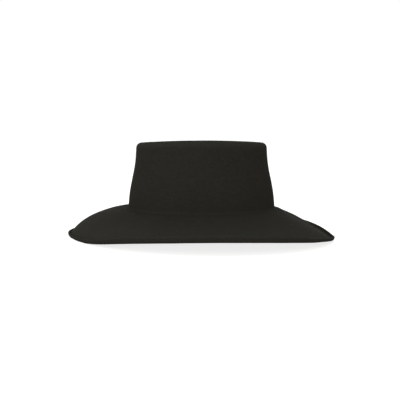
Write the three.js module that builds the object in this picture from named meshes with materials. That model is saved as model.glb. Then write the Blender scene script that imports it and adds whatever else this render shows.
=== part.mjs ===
// Wide-brim felt hat, standing on the front and the back of its brim.
// Millimetres, +Z up. The front of the hat points along -X. The origin is on the surface that the hat
// rests on, under the middle of its outline.
import * as THREE from "three";

const DEGREE = Math.PI / 180;

// Felt
const FELT = 2.2;                // thickness
const EDGE_ROUNDING = 0.5;       // corners of the cut edge of the brim

// Crown, measured on its outside
const HEAD_LENGTH = 204.1;       // front to back at the break, where the crown meets the brim
const HEAD_WIDTH = 170;          // side to side at the break
const CROWN_HEIGHT = 92.7;       // top of the rim above the break
const TOP_INSET = 11.5;          // how far the wall has come in when it reaches the rim
const WALL_S_BEND = 0.086;       // share of TOP_INSET by which the wall swells low down and hollows high up
const WALL_SPREAD = 0.026;       // share of TOP_INSET by which the wall leans more low down than high up
const RIM_RADIUS = 6.5;          // rounded rim round the top
const TOP_SUNK = 12;             // depth of the sunken top below the rim
const RIM_INSIDE_TURN = 80;      // degrees that the rim turns over on its inner side
const TOP_FILLET = 4;            // run from the rim's inner side to the flat of the top
const SIDES_RAISED = 1.9;        // how much higher the rim is at the sides than at the front and back
const BREAK_FILLET = 5;          // bend from the crown's wall into the brim
const OVAL_FADE_RADIUS = 60;     // inside this radius the top gradually turns round and level

// Brim
const BRIM_WIDTH = 90.5;         // along the felt, from the end of the fillet to the edge
const BREAK_EASE = 8;            // length over which the brim takes up its slope
const CURL_ZONE = 13;            // outer part of the level brim, which becomes the curl
const QUARTER_PULL = 0.371;      // draws the quarters from halfway to the side to 35 degrees
const RESTING_LEAN = 1;          // degrees that the resting hat leans forward: its brim is lower at the back
const RESTING_PRESS = 1.2;       // how far the lowest felt is pressed flat where the hat rests

// Slopes of the brim in degrees below level, the angle that its edge is curled back up and the width
// of that curl, at five places from front to back. The four slopes are the control values of a smooth
// curve from the crown to the edge. The quarters lie 35 degrees from the front and from the back.
const BRIM_SLOPES = [
  { place: "front", crown: 0.2, inner: 14.2, outer: 27, edge: 61.3, curl: 146.3, curlWidth: 6.5 },
  { place: "front quarter", crown: -10, inner: 20.9, outer: 43, edge: 56.8, curl: 149, curlWidth: 11.7 },
  { place: "side", crown: 1.7, inner: 32.9, outer: 18.6, edge: 4.6, curl: 137, curlWidth: 12.6 },
  { place: "back quarter", crown: 13.3, inner: 14.8, outer: 33.2, edge: 37.1, curl: 111.6, curlWidth: 11.4 },
  { place: "back", crown: 39.4, inner: 22.8, outer: 29.4, edge: 32.2, curl: 122.7, curlWidth: 9.2 },
];

// Facets
const TURN_STEPS = 80;           // round the hat
const BRIM_STEPS = 8;            // across the plain part of the brim
const CURL_STEPS = 7;            // across the curled part
const FILLET_STEPS = 3;
const WALL_STEPS = 7;
const RIM_STEPS = 3;             // each side of the rim
const TOP_RINGS = [0, 0.35, 0.7, 1];  // shares of the flat top's radius
const SLOPE_STEP = 0.5;          // step along the felt when the brim's slope is summed

const WALL_RADIUS = (HEAD_LENGTH + HEAD_WIDTH) / 4 - FELT / 2;
const OVAL_SHIFT = (HEAD_LENGTH - HEAD_WIDTH) / 4;
const BRIM_START = WALL_RADIUS + BREAK_FILLET;
const BRIM_END = BRIM_START + BRIM_WIDTH;

const smooth = (value) => {
  const t = Math.min(Math.max(value, 0), 1);
  return t * t * (3 - 2 * t);
};

// Middle of the felt on a round hat with a level brim, from the middle of the top out to the brim's edge.
// x is the radius and y the height above the break.
function feltLine() {
  const points = [];
  const put = (radius, height) => points.push(new THREE.Vector2(radius, height));
  const wallTop = CROWN_HEIGHT - FELT / 2 - RIM_RADIUS;
  const rimRadius = WALL_RADIUS - TOP_INSET - RIM_RADIUS;
  const rimEnd = rimRadius - RIM_RADIUS * Math.sin(RIM_INSIDE_TURN * DEGREE);

  for (const share of TOP_RINGS) {
    put((rimEnd - TOP_FILLET) * share, CROWN_HEIGHT - FELT / 2 - TOP_SUNK);
  }
  for (let i = RIM_STEPS; i > 0; i--) {
    const turn = (RIM_INSIDE_TURN * DEGREE * i) / RIM_STEPS;
    put(rimRadius - RIM_RADIUS * Math.sin(turn), wallTop + RIM_RADIUS * Math.cos(turn));
  }
  for (let i = 0; i < RIM_STEPS; i++) {
    const turn = (90 * DEGREE * i) / RIM_STEPS;
    put(rimRadius + RIM_RADIUS * Math.sin(turn), wallTop + RIM_RADIUS * Math.cos(turn));
  }
  for (let i = WALL_STEPS; i > 0; i--) {
    const t = i / WALL_STEPS;
    const bend = WALL_SPREAD * Math.sin(Math.PI * t) - WALL_S_BEND * Math.sin(2 * Math.PI * t);
    const inset = TOP_INSET * (t + bend);
    put(WALL_RADIUS - inset, BREAK_FILLET + (wallTop - BREAK_FILLET) * t);
  }
  for (let i = 0; i < FILLET_STEPS; i++) {
    const turn = (90 * DEGREE * i) / FILLET_STEPS;
    put(BRIM_START - BREAK_FILLET * Math.cos(turn), BREAK_FILLET * (1 - Math.sin(turn)));
  }
  for (let i = 0; i < BRIM_STEPS; i++) {
    put(BRIM_START + ((BRIM_WIDTH - CURL_ZONE) * i) / BRIM_STEPS, 0);
  }
  for (let i = 0; i <= CURL_STEPS; i++) {
    put(BRIM_END - CURL_ZONE + (CURL_ZONE * i) / CURL_STEPS, 0);
  }
  return points;
}

// One face of the felt, half a thickness to one side of its middle line.
function feltFace(line, offset) {
  return line.map((point, i) => {
    const before = line[Math.max(i - 1, 0)];
    const after = line[Math.min(i + 1, line.length - 1)];
    const along = after.clone().sub(before).normalize();
    const radius = i === 0 ? 0 : point.x - along.y * offset;
    return new THREE.Vector2(radius, point.y + along.x * offset);
  });
}

// Closed outline of the round hat: up the inside of the felt, round the edge and back over the outside.
function roundProfile() {
  const line = feltLine();
  const outside = feltFace(line, FELT / 2);
  const inside = feltFace(line, -FELT / 2);
  outside.pop();
  inside.pop();
  const corner = FELT / 2 - EDGE_ROUNDING;
  const edge = [
    new THREE.Vector2(BRIM_END - EDGE_ROUNDING, -FELT / 2),
    new THREE.Vector2(BRIM_END, -corner),
    new THREE.Vector2(BRIM_END, corner),
    new THREE.Vector2(BRIM_END - EDGE_ROUNDING, FELT / 2),
  ];
  return [...inside, ...edge, ...outside.reverse()];
}

// Values of BRIM_SLOPES at an angle from the front, the same to the left and to the right.
function slopesAt(angle) {
  const fromFront = Math.abs(Math.atan2(Math.sin(angle), Math.cos(angle)));
  const spread = fromFront + (QUARTER_PULL * Math.sin(2 * fromFront)) / 2;
  const place = (spread / Math.PI) * (BRIM_SLOPES.length - 1);
  const low = Math.min(Math.floor(place), BRIM_SLOPES.length - 2);
  const t = place - low;
  const row = (i) => BRIM_SLOPES[i < 0 ? 1 : i >= BRIM_SLOPES.length ? BRIM_SLOPES.length - 2 : i];
  const read = (column) => {
    const [a, b, c, d] = [low - 1, low, low + 1, low + 2].map((i) => row(i)[column]);
    return b + 0.5 * t * (c - a + t * (2 * a - 5 * b + 4 * c - d + t * (3 * (b - c) + d - a)));
  };
  return {
    crown: read("crown"),
    inner: read("inner"),
    outer: read("outer"),
    edge: read("edge"),
    curl: read("curl"),
    curlWidth: read("curlWidth"),
  };
}

// Slope of the brim in radians below level, at a distance along the felt from the end of the fillet.
function slopeAlong(slopes, distance) {
  const u = Math.min(Math.max(distance / BRIM_WIDTH, 0), 1);
  const v = 1 - u;
  const plain =
    v * v * v * slopes.crown +
    3 * u * v * v * slopes.inner +
    3 * u * u * v * slopes.outer +
    u * u * u * slopes.edge;
  const curled = slopes.curl * smooth((distance - BRIM_WIDTH) / slopes.curlWidth + 1);
  return (plain * smooth(distance / BREAK_EASE) - curled) * DEGREE;
}

// Where the brim's felt goes at one angle: a function from distance along the level brim to the outward
// reach, the height and the slope.
function brimBend(angle) {
  const slopes = slopesAt(angle);
  const track = [{ reach: 0, height: 0 }];
  const steps = Math.ceil(BRIM_WIDTH / SLOPE_STEP);
  for (let i = 0; i < steps; i++) {
    const slope = slopeAlong(slopes, (i + 0.5) * SLOPE_STEP);
    const last = track[i];
    track.push({
      reach: last.reach + SLOPE_STEP * Math.cos(slope),
      height: last.height - SLOPE_STEP * Math.sin(slope),
    });
  }
  const plain = BRIM_WIDTH - CURL_ZONE;
  return (levelDistance) => {
    const fromEdge = ((BRIM_WIDTH - levelDistance) * slopes.curlWidth) / CURL_ZONE;
    const beforeCurl = (levelDistance * (BRIM_WIDTH - slopes.curlWidth)) / plain;
    const distance = levelDistance > plain ? BRIM_WIDTH - fromEdge : beforeCurl;
    const index = Math.min(Math.floor(distance / SLOPE_STEP), steps - 1);
    const low = track[index];
    const high = track[index + 1];
    const part = distance / SLOPE_STEP - index;
    return {
      reach: low.reach + (high.reach - low.reach) * part,
      height: low.height + (high.height - low.height) * part,
      slope: slopeAlong(slopes, distance),
    };
  };
}

// Blocks the round, level hat: the brim is bent, the rim raised at the sides, the whole pressed to an oval.
function block(geometry, profile) {
  const position = geometry.attributes.position;
  for (let i = 0; i <= TURN_STEPS; i++) {
    const angle = (2 * Math.PI * (i % TURN_STEPS)) / TURN_STEPS;
    const bend = brimBend(angle);
    profile.forEach((point, j) => {
      let radius = point.x;
      let height = point.y;
      const fade = Math.min(radius / OVAL_FADE_RADIUS, 1);
      if (radius > BRIM_START) {
        const felt = bend(radius - BRIM_START);
        const offset = point.y;
        radius = BRIM_START + felt.reach + offset * Math.sin(felt.slope);
        height = felt.height + offset * Math.cos(felt.slope);
      } else {
        const share = Math.max(height / CROWN_HEIGHT, 0) * fade * fade;
        height += SIDES_RAISED * Math.sin(angle) ** 2 * share;
      }
      const shift = OVAL_SHIFT * fade;
      const x = -(radius + shift) * Math.cos(angle);
      const y = -(radius - shift) * Math.sin(angle);
      position.setXYZ(i * profile.length + j, x, y, height);
    });
  }
}

// Sets the hat down: centred over the origin, its lowest felt pressed flat against the surface.
function setDown(geometry) {
  geometry.rotateY(-RESTING_LEAN * DEGREE);
  geometry.computeBoundingBox();
  const box = geometry.boundingBox;
  geometry.translate(-(box.min.x + box.max.x) / 2, 0, -box.min.z - RESTING_PRESS);
  const position = geometry.attributes.position;
  for (let i = 0; i < position.count; i++) {
    position.setZ(i, Math.max(position.getZ(i), 0));
  }
}

function feltBody() {
  const profile = roundProfile();
  const geometry = new THREE.LatheGeometry(profile, TURN_STEPS);
  block(geometry, profile);
  setDown(geometry);
  geometry.computeVertexNormals();
  const felt = new THREE.MeshStandardMaterial({ color: "#2b2a26", roughness: 0.95, metalness: 0 });
  const mesh = new THREE.Mesh(geometry, felt);
  mesh.name = "felt_body";
  return mesh;
}

const hat = new THREE.Group();
hat.name = "wide_brim_felt_hat";
hat.add(feltBody());

export default hat;
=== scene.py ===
# Wide-brim felt hat, standing on the front and the back of its brim.
# Metres, +Z up. The front of the hat points along -X. The origin is on the floor, under the middle of
# the hat's outline. The hat's own sizes are in millimetres, those of the studio in metres.
import math

import bmesh
import bpy
from mathutils import Matrix, Vector, noise


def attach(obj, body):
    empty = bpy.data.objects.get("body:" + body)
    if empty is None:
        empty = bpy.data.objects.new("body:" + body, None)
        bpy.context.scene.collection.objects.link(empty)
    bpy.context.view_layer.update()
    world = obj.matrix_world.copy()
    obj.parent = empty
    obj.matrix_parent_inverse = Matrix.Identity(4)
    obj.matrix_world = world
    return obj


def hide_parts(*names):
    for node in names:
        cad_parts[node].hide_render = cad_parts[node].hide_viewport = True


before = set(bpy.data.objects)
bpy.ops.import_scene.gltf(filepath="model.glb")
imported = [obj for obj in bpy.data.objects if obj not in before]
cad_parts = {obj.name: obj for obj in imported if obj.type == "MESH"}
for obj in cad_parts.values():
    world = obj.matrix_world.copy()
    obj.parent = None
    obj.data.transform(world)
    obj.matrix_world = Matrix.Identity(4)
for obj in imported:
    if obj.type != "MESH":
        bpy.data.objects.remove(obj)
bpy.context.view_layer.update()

MM = 0.001

# Felt
FELT = 2.2                 # thickness
EDGE_ROUNDING = 0.5        # corners of the cut edge of the brim

# Crown, measured on its outside
HEAD_LENGTH = 204.1        # front to back at the break, where the crown meets the brim
HEAD_WIDTH = 170           # side to side at the break
CROWN_HEIGHT = 92.7        # top of the rim above the break
TOP_INSET = 11.5           # how far the wall has come in when it reaches the rim
WALL_S_BEND = 0.086        # share of TOP_INSET by which the wall swells low down and hollows high up
WALL_SPREAD = 0.026        # share of TOP_INSET by which the wall leans more low down than high up
RIM_RADIUS = 6.5           # rounded rim round the top
TOP_SUNK = 12              # depth of the sunken top below the rim
RIM_INSIDE_TURN = 80       # degrees that the rim turns over on its inner side
TOP_FILLET = 4             # run from the rim's inner side to the flat of the top
SIDES_RAISED = 1.9         # how much higher the rim is at the sides than at the front and back
BREAK_FILLET = 5           # bend from the crown's wall into the brim
OVAL_FADE_RADIUS = 60      # inside this radius the top gradually turns round and level

# Brim
BRIM_WIDTH = 90.5          # along the felt, from the end of the fillet to the edge
BREAK_EASE = 8             # length over which the brim takes up its slope
CURL_ZONE = 13             # outer part of the level brim, which becomes the curl
QUARTER_PULL = 0.371       # draws the quarters from halfway to the side to 35 degrees
RESTING_LEAN = 1           # degrees that the resting hat leans forward
RESTING_PRESS = 1.2        # how far the lowest felt is pressed flat where the hat rests

# Slopes of the brim in degrees below level, the angle that its edge is curled back up and the width
# of that curl, at five places from front to back. The four slopes are the control values of a smooth
# curve from the crown to the edge. The quarters lie 35 degrees from the front and from the back.
SLOPE_COLUMNS = ("crown", "inner", "outer", "edge", "curl", "curl_width")
BRIM_SLOPES = (
    (0.2, 14.2, 27, 61.3, 146.3, 6.5),  # front
    (-10, 20.9, 43, 56.8, 149, 11.7),  # front quarter
    (1.7, 32.9, 18.6, 4.6, 137, 12.6),  # side
    (13.3, 14.8, 33.2, 37.1, 111.6, 11.4),  # back quarter
    (39.4, 22.8, 29.4, 32.2, 122.7, 9.2),  # back
)

# Hand-blocked felt isn't quite even
UNEVEN_SEED = 7            # the same waves at every run
WAVES = 12                 # slow waves, per metre
WAVE_DEPTH = 0.4
RIPPLES = 80               # fine ripple, per metre
RIPPLE_DEPTH = 0.08

# Surface of the felt
DYE_CLOUD = 60             # uneven dye, in clouds of about this size
TUFT = 5                   # tufts of matted fibre
FIBRE_BUNDLE = 1.5         # a fibre is 0.02 mm thick, too fine to show, so these are bundles of them
MARK_LENGTH = 6            # brush marks, in degrees round the hat
MARK_WIDTH = 1.8

# Wear and painted light, which make the felt paler. 1 would be the palest.
EDGE_WEAR = 0.35           # at the cut edge of the brim
EDGE_WEAR_WIDTH = 3
BRIM_PAINTED_LIGHT = 0.45           # painted light and shade on the upper face of the brim: palest at its edge, darker toward the crown, whose shade falls there
BRIM_PAINTED_LIGHT_WIDTH = 70
RIM_WEAR = 0.2             # on the rim of the crown
RIM_WEAR_FADE = 2          # over which the rim's wear fades out beyond the rim
RIM_WEAR_RISE = 6          # over which it grows up the wall

# Mesh
TURN_STEPS = 360
TOP_STEPS = 7
RIM_STEPS = 4
WALL_STEPS = 14
FILLET_STEPS = 3
BRIM_STEPS = 15
CURL_STEPS = 10
EDGE_STEPS = 3             # round each corner of the cut edge
OUTSIDE_FINENESS = 2       # the outside has this many times the steps of the inside
SLOPE_STEP = 0.5           # step along the felt when the brim's slope is summed
POLE_MERGE = 0.001         # corners nearer to each other than this become one

WALL_RADIUS = (HEAD_LENGTH + HEAD_WIDTH) / 4 - FELT / 2
OVAL_SHIFT = (HEAD_LENGTH - HEAD_WIDTH) / 4
BRIM_START = WALL_RADIUS + BREAK_FILLET
BRIM_END = BRIM_START + BRIM_WIDTH
TOP_HEIGHT = CROWN_HEIGHT - FELT / 2
WALL_TOP = TOP_HEIGHT - RIM_RADIUS
RIM_MIDDLE = WALL_RADIUS - TOP_INSET - RIM_RADIUS


def smooth(value):
    """Eases from 0 to 1 as the value goes from 0 to 1, and stays there on either side."""
    t = min(max(value, 0.0), 1.0)
    return t * t * (3 - 2 * t)


# Round hat with a level brim

def felt_line(fineness):
    """Middle of the felt from the middle of the top out to the edge, as (radius, height)."""
    top, rim, wall, fillet, brim, curl = (
        steps * fineness
        for steps in (TOP_STEPS, RIM_STEPS, WALL_STEPS, FILLET_STEPS, BRIM_STEPS, CURL_STEPS)
    )
    points = []
    inside = math.radians(RIM_INSIDE_TURN)
    flat = RIM_MIDDLE - RIM_RADIUS * math.sin(inside) - TOP_FILLET
    for i in range(top + 1):
        points.append((flat * i / top, TOP_HEIGHT - TOP_SUNK))
    for i in range(rim, 0, -1):
        turn = inside * i / rim
        points.append((RIM_MIDDLE - RIM_RADIUS * math.sin(turn), WALL_TOP + RIM_RADIUS * math.cos(turn)))
    for i in range(rim):
        turn = math.pi / 2 * i / rim
        points.append((RIM_MIDDLE + RIM_RADIUS * math.sin(turn), WALL_TOP + RIM_RADIUS * math.cos(turn)))
    for i in range(wall, 0, -1):
        t = i / wall
        bend = WALL_SPREAD * math.sin(math.pi * t) - WALL_S_BEND * math.sin(2 * math.pi * t)
        inset = TOP_INSET * (t + bend)
        points.append((WALL_RADIUS - inset, BREAK_FILLET + (WALL_TOP - BREAK_FILLET) * t))
    for i in range(fillet):
        turn = math.pi / 2 * i / fillet
        points.append((BRIM_START - BREAK_FILLET * math.cos(turn), BREAK_FILLET * (1 - math.sin(turn))))
    for i in range(brim):
        points.append((BRIM_START + (BRIM_WIDTH - CURL_ZONE) * i / brim, 0.0))
    for i in range(curl + 1):
        points.append((BRIM_END - CURL_ZONE * (1 - i / curl), 0.0))
    return points


def felt_face(line, offset):
    """One face of the felt, half a thickness to one side of its middle line."""
    face = []
    for i, (radius, height) in enumerate(line):
        before = line[max(i - 1, 0)]
        after = line[min(i + 1, len(line) - 1)]
        run, rise = after[0] - before[0], after[1] - before[1]
        length = math.hypot(run, rise)
        face.append((0.0 if i == 0 else radius - rise / length * offset, height + run / length * offset))
    return face


def round_profile():
    """Outline of the felt: over the outside, round the cut edge and back up the inside."""
    outside = felt_face(felt_line(OUTSIDE_FINENESS), FELT / 2)[:-1]
    inside = felt_face(felt_line(1), -FELT / 2)[:-1]
    quarter = [math.pi / 2 * i / EDGE_STEPS for i in range(EDGE_STEPS + 1)]
    edge = []
    for side, turns in ((1, quarter), (-1, quarter[::-1])):
        for turn in turns:
            radius = BRIM_END - EDGE_ROUNDING * (1 - math.sin(turn))
            height = side * (FELT / 2 - EDGE_ROUNDING * (1 - math.cos(turn)))
            edge.append((radius, height))
    return outside + edge + inside[::-1]


def spun(profile):
    """The profile turned once round the upright axis, from the front of the hat, closed at the poles."""
    bm = bmesh.new()
    corners = [bm.verts.new((-radius, 0, height)) for radius, height in profile]
    sides = [bm.edges.new(pair) for pair in zip(corners, corners[1:])]
    bmesh.ops.spin(
        bm, geom=corners + sides, cent=(0, 0, 0), axis=(0, 0, 1),
        angle=2 * math.pi, steps=TURN_STEPS, use_merge=True,
    )
    bmesh.ops.remove_doubles(bm, verts=bm.verts, dist=POLE_MERGE)
    bmesh.ops.recalc_face_normals(bm, faces=bm.faces)
    return bm


# Blocking: the level brim is bent, the round hat is pressed to an oval and set down

def slopes_at(angle):
    """Values at an angle from the front, on a Catmull-Rom curve through the rows of BRIM_SLOPES. They are
    the same to the left and to the right."""
    from_front = abs(math.atan2(math.sin(angle), math.cos(angle)))
    spread = from_front + QUARTER_PULL * math.sin(2 * from_front) / 2
    place = spread / math.pi * (len(BRIM_SLOPES) - 1)
    low = min(int(place), len(BRIM_SLOPES) - 2)
    t = place - low
    last = len(BRIM_SLOPES) - 1
    rows = [BRIM_SLOPES[1 if i < 0 else last - 1 if i > last else i] for i in range(low - 1, low + 3)]
    return {
        column: b + 0.5 * t * (c - a + t * (2 * a - 5 * b + 4 * c - d + t * (3 * (b - c) + d - a)))
        for column, a, b, c, d in zip(SLOPE_COLUMNS, *rows)
    }


def slope_along(slopes, distance):
    """Slope of the brim in radians below level, at a distance from the end of the fillet."""
    u = min(max(distance / BRIM_WIDTH, 0), 1)
    v = 1 - u
    plain = (
        v ** 3 * slopes["crown"]
        + 3 * u * v * v * slopes["inner"]
        + 3 * u * u * v * slopes["outer"]
        + u ** 3 * slopes["edge"]
    )
    curled = slopes["curl"] * smooth((distance - BRIM_WIDTH) / slopes["curl_width"] + 1)
    return math.radians(plain * smooth(distance / BREAK_EASE) - curled)


def brim_bend(angle):
    """At one angle, a function from distance along the level brim to outward reach, height and slope."""
    slopes = slopes_at(angle)
    width = slopes["curl_width"]
    plain = BRIM_WIDTH - CURL_ZONE
    steps = math.ceil(BRIM_WIDTH / SLOPE_STEP)
    track = [(0.0, 0.0)]
    for i in range(steps):
        slope = slope_along(slopes, (i + 0.5) * SLOPE_STEP)
        reach, height = track[-1]
        track.append((reach + SLOPE_STEP * math.cos(slope), height - SLOPE_STEP * math.sin(slope)))

    def place(level_distance):
        if level_distance > plain:
            distance = BRIM_WIDTH - (BRIM_WIDTH - level_distance) * width / CURL_ZONE
        else:
            distance = level_distance * (BRIM_WIDTH - width) / plain
        index = min(int(distance / SLOPE_STEP), steps - 1)
        part = distance / SLOPE_STEP - index
        (reach, height), (next_reach, next_height) = track[index], track[index + 1]
        return (
            reach + (next_reach - reach) * part,
            height + (next_height - height) * part,
            slope_along(slopes, distance),
        )

    return place


def block(bm):
    """Bends the brim and presses the round hat to its oval. Keeps how worn each place is, with the painted
    light on the upper face of the brim, and where it lies along the brush marks."""
    worn_and_painted_light = bm.verts.layers.float.new("worn_and_painted_light")
    nap = bm.verts.layers.float_vector.new("nap")
    bends = {}
    for vert in bm.verts:
        radius = math.hypot(vert.co.x, vert.co.y)
        angle = math.atan2(vert.co.y, -vert.co.x)
        height = vert.co.z
        fade = min(radius / OVAL_FADE_RADIUS, 1)
        # wear of the cut edge and the rim, and painted light and shade on the upper face of the brim
        vert[worn_and_painted_light] = wear_and_painted_light_at(radius, height)
        vert[nap] = brushed_along(radius, height, angle)
        if radius > BRIM_START:
            step = round(angle / (2 * math.pi) * TURN_STEPS) % TURN_STEPS
            if step not in bends:
                bends[step] = brim_bend(2 * math.pi * step / TURN_STEPS)
            reach, drop, slope = bends[step](radius - BRIM_START)
            radius = BRIM_START + reach + height * math.sin(slope)
            height = drop + height * math.cos(slope)
        else:
            height += SIDES_RAISED * math.sin(angle) ** 2 * max(height / CROWN_HEIGHT, 0) * fade ** 2
        shift = OVAL_SHIFT * fade
        vert.co = Vector((-(radius + shift) * math.cos(angle), (radius - shift) * math.sin(angle), height))


def brushed_along(radius, height, angle):
    """Place for the brush marks: round the hat by its angle, and across them from the top to the edge."""
    across = radius - height if radius < BRIM_START else radius
    around = MM / math.radians(MARK_LENGTH)
    return Vector((math.cos(angle) * around, math.sin(angle) * around, across / MARK_WIDTH * MM))


def wear_and_painted_light_at(radius, height):
    """How worn a place of the round hat is, and its painted light: the upper face of the brim is painted
    paler toward its edge and darker toward the crown. The underside of the brim stays dark but for its cut
    edge.
    """
    from_edge = BRIM_END - radius
    edge = 1 - smooth(from_edge / EDGE_WEAR_WIDTH)
    upper_face = smooth(height / FELT + 0.5)
    # Painted light: the upper face of the brim is paler toward its edge and darker toward the crown, in
    # place of the crown's shade
    painted_brim_light = upper_face * (1 - smooth(from_edge / BRIM_PAINTED_LIGHT_WIDTH))
    past_rim = math.hypot(radius - RIM_MIDDLE, height - WALL_TOP) - RIM_RADIUS - FELT / 2
    rim = 1 - smooth(past_rim / RIM_WEAR_FADE)
    rim *= smooth((height - WALL_TOP + RIM_WEAR_FADE) / RIM_WEAR_RISE)
    return max(EDGE_WEAR * edge, BRIM_PAINTED_LIGHT * painted_brim_light, RIM_WEAR * rim)


def set_down(bm):
    """Leans the hat and centres it over the origin, with its lowest felt a little below the floor."""
    lean = Matrix.Rotation(math.radians(-RESTING_LEAN), 3, "Y")
    bmesh.ops.rotate(bm, verts=bm.verts, cent=(0, 0, 0), matrix=lean)
    xs = [vert.co.x for vert in bm.verts]
    lowest = min(vert.co.z for vert in bm.verts)
    move = (-(min(xs) + max(xs)) / 2, 0, -lowest - RESTING_PRESS)
    bmesh.ops.translate(bm, verts=bm.verts, vec=move)


def press_flat(bm):
    """The floor presses the felt that would reach below it flat."""
    for vert in bm.verts:
        vert.co.z = max(vert.co.z, 0)


def uneven(bm):
    """Slow waves and a fine ripple, the same on both faces of the felt."""
    noise.seed_set(UNEVEN_SEED)
    for vert in bm.verts:
        place = vert.co * MM
        slow = noise.noise_vector(place * WAVES) * WAVE_DEPTH
        fine = noise.noise_vector(place * RIPPLES) * RIPPLE_DEPTH
        vert.co += slow + fine


# Felt

# Sockets of a Mix node, by number because its inputs for numbers and for colours have the same names
MIX_SHARE = 0
MIX_FIRST = 6
MIX_SECOND = 7
MIX_RESULT = 2


def linear(hex_colour):
    """sRGB hex to a linear colour with alpha."""
    parts = [int(hex_colour[i:i + 2], 16) / 255 for i in (1, 3, 5)]
    return (*(p / 12.92 if p <= 0.04045 else ((p + 0.055) / 1.055) ** 2.4 for p in parts), 1.0)


def add_node(tree, kind, settings=None, values=None, links=None):
    """Adds a node. settings are its properties, values its inputs, links its inputs' source sockets."""
    node = tree.nodes.new(kind)
    for name, value in (settings or {}).items():
        setattr(node, name, value)
    for name, value in (values or {}).items():
        node.inputs[name].default_value = value
    for name, socket in (links or {}).items():
        tree.links.new(socket, node.inputs[name])
    return node


def new_material(name):
    material = bpy.data.materials.new(name)
    material.use_nodes = True
    material.node_tree.nodes.clear()
    return material, material.node_tree


def brushed_fur_felt():
    """Fur felt, dyed black, pressed and brushed in circles: matte and nearly black with a green-brown cast.
    Short matted fibres and faint brush marks break up its tone, and a few loose fibre ends catch light
    at grazing angles. Wear has made the cut edge of the brim and the rim of the crown a little paler. The
    upper face of the brim carries painted light and shade: paler toward its edge, darker toward the crown."""
    material, tree = new_material("brushed_fur_felt")
    place = add_node(tree, "ShaderNodeTexCoord").outputs["Object"]
    nap = add_node(tree, "ShaderNodeAttribute", {"attribute_name": "nap"}).outputs["Vector"]
    # wear of the cut edge and the rim, and painted light and shade on the upper face of the brim
    worn_and_painted_light = add_node(tree, "ShaderNodeAttribute", {"attribute_name": "worn_and_painted_light"}).outputs["Fac"]
    dye = add_node(
        tree, "ShaderNodeTexNoise", links={"Vector": place},
        values={"Scale": 1 / (DYE_CLOUD * MM), "Detail": 2.0},
    ).outputs["Fac"]
    tufts = add_node(
        tree, "ShaderNodeTexNoise", links={"Vector": place},
        values={"Scale": 1 / (TUFT * MM), "Detail": 3.0, "Roughness": 0.6, "Distortion": 0.8},
    ).outputs["Fac"]
    fibres = add_node(
        tree, "ShaderNodeTexNoise", links={"Vector": place},
        values={"Scale": 1 / (FIBRE_BUNDLE * MM), "Detail": 4.0, "Roughness": 0.7, "Distortion": 1.6},
    ).outputs["Fac"]
    marks = add_node(
        tree, "ShaderNodeTexNoise", links={"Vector": nap},
        values={"Scale": 1 / MM, "Detail": 4.0, "Roughness": 0.65, "Distortion": 0.5},
    ).outputs["Fac"]

    # The dye, then layers over it: what drives each, where it starts and is full, its colour and how
    # much of it shows there
    colour = add_node(
        tree, "ShaderNodeMix", {"data_type": "RGBA"}, links={MIX_SHARE: dye},
        values={MIX_FIRST: linear("#151412"), MIX_SECOND: linear("#191815")},
    ).outputs[MIX_RESULT]
    for source, start, full, tint, strength in (
        (tufts, 0.35, 0.7, "#1b1a18", 0.5),
        (marks, 0.5, 0.8, "#242320", 0.3),
        (fibres, 0.35, 0.75, "#262521", 0.5),
        (fibres, 0.45, 0.2, "#0a0a09", 0.7),
        # the worn places and the painted light on the brim both take this paler tint
        (worn_and_painted_light, 0.0, 1.0, "#32342f", 0.37),
    ):
        share = add_node(
            tree, "ShaderNodeMapRange", links={"Value": source},
            values={"From Min": start, "From Max": full, "To Max": strength},
        ).outputs["Result"]
        colour = add_node(
            tree, "ShaderNodeMix", {"data_type": "RGBA"}, links={MIX_SHARE: share, MIX_FIRST: colour},
            values={MIX_SECOND: linear(tint)},
        ).outputs[MIX_RESULT]

    # Each relief: what drives it, how strong it is, its depth in millimetres
    normal = {}
    for source, strength, depth in ((tufts, 0.6, 0.5), (marks, 0.5, 0.2), (fibres, 0.7, 0.3)):
        relief = add_node(
            tree, "ShaderNodeBump", links={"Height": source, **normal},
            values={"Strength": strength, "Distance": depth * MM},
        )
        normal = {"Normal": relief.outputs["Normal"]}

    felt = add_node(
        tree, "ShaderNodeBsdfPrincipled", links={"Base Color": colour, **normal},
        values={
            "Roughness": 0.95, "Specular IOR Level": 0.01, "Sheen Weight": 0.004,
            "Sheen Roughness": 0.45, "Sheen Tint": linear("#e6ecdc"),
        },
    )
    add_node(tree, "ShaderNodeOutputMaterial", links={"Surface": felt.outputs["BSDF"]})
    return material


def felt_hat():
    bm = spun(round_profile())
    block(bm)
    set_down(bm)
    press_flat(bm)
    uneven(bm)
    press_flat(bm)
    bmesh.ops.scale(bm, vec=(MM, MM, MM), verts=bm.verts)
    for face in bm.faces:
        face.smooth = True
    mesh = bpy.data.meshes.new("blocked_felt_hat")
    bm.to_mesh(mesh)
    bm.free()
    mesh.materials.append(brushed_fur_felt())
    hat = bpy.data.objects.new("blocked_felt_hat", mesh)
    bpy.context.scene.collection.objects.link(hat)
    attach(hat, "root")
    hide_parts("felt_body")


# Floor, light and camera, in metres, watts and degrees

FLOOR_RADIUS = 200         # so far that its end lies on the horizon
FLOOR_SIDES = 96
LIGHTS_FACE = (0, 0, 0.06)  # middle of the hat
CAMERA_PLACE = (0.00778, -0.95568, 0.14467)
CAMERA_TURN = 0.572        # to the left of straight at the hat's side
CAMERA_TIP = 5.708         # below level
CAMERA_ROLL = 1.005        # leaning to the left
LENS = 61.66               # millimetres, on a sensor 36 millimetres wide
SENSOR = 36


def opal_acrylic():
    """Top of a light table, lit from below, which leaves only a faint shadow."""
    material, tree = new_material("opal_acrylic")
    acrylic = add_node(
        tree, "ShaderNodeBsdfPrincipled",
        values={
            "Base Color": linear("#8c8c8b"), "Roughness": 0.9, "Specular IOR Level": 0.1,
            "Emission Color": (1, 1, 1, 1), "Emission Strength": 0.8,
        },
    )
    add_node(tree, "ShaderNodeOutputMaterial", links={"Surface": acrylic.outputs["BSDF"]})
    return material


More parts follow.
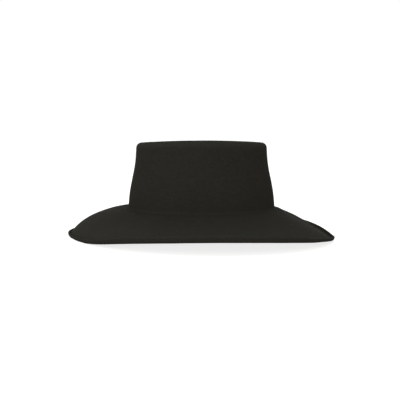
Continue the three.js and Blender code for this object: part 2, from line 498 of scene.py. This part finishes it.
def floor():
    bm = bmesh.new()
    bmesh.ops.create_circle(bm, cap_ends=True, segments=FLOOR_SIDES, radius=FLOOR_RADIUS)
    mesh = bpy.data.meshes.new("studio_floor")
    bm.to_mesh(mesh)
    bm.free()
    mesh.materials.append(opal_acrylic())
    ground = bpy.data.objects.new("studio_floor", mesh)
    bpy.context.scene.collection.objects.link(ground)


def area_light(name, place, size, power, colour):
    """A soft square light that faces the hat."""
    lamp = bpy.data.lights.new(name, "AREA")
    lamp.size = size
    lamp.energy = power
    lamp.color = colour
    light = bpy.data.objects.new(name, lamp)
    light.location = place
    light.rotation_euler = (Vector(LIGHTS_FACE) - Vector(place)).to_track_quat("-Z", "Y").to_euler()
    bpy.context.scene.collection.objects.link(light)


def studio():
    """An even white room, with a warm light in front and dim ones that keep the felt from going flat."""
    world = bpy.data.worlds.new("studio")
    world.use_nodes = True
    tree = world.node_tree
    tree.nodes.clear()
    room = add_node(tree, "ShaderNodeBackground", values={"Color": (0.985, 1, 0.985, 1), "Strength": 1.03})
    add_node(tree, "ShaderNodeOutputWorld", links={"Surface": room.outputs["Background"]})
    bpy.context.scene.world = world
    bpy.context.scene.view_settings.view_transform = "Standard"
    # Each light: name, place, width, power, colour
    area_light("front", (-0.3, -2.2, 0.65), 1.4, 44, (1.0, 0.95, 0.88))
    area_light("left", (-2.3, -0.2, 0.8), 1.2, 20, (1, 1, 1))
    area_light("top", (0, 0, 2.2), 1.5, 14, (1, 1, 1))
    area_light("back", (0, 2.0, 1.2), 1.4, 16, (1, 1, 1))


def camera():
    """At the photograph's angle: at the hat's side, a little higher than the hat and tipped down."""
    lens = bpy.data.cameras.new("camera")
    lens.sensor_width = SENSOR
    lens.lens = LENS
    view = bpy.data.objects.new("camera", lens)
    turn = Matrix.Rotation(math.radians(CAMERA_TURN), 4, "Z")
    tip = Matrix.Rotation(math.radians(90 - CAMERA_TIP), 4, "X")
    roll = Matrix.Rotation(math.radians(CAMERA_ROLL), 4, "Z")
    view.matrix_world = Matrix.Translation(CAMERA_PLACE) @ turn @ tip @ roll
    bpy.context.scene.collection.objects.link(view)
    bpy.context.scene.camera = view


felt_hat()
floor()
studio()
camera()
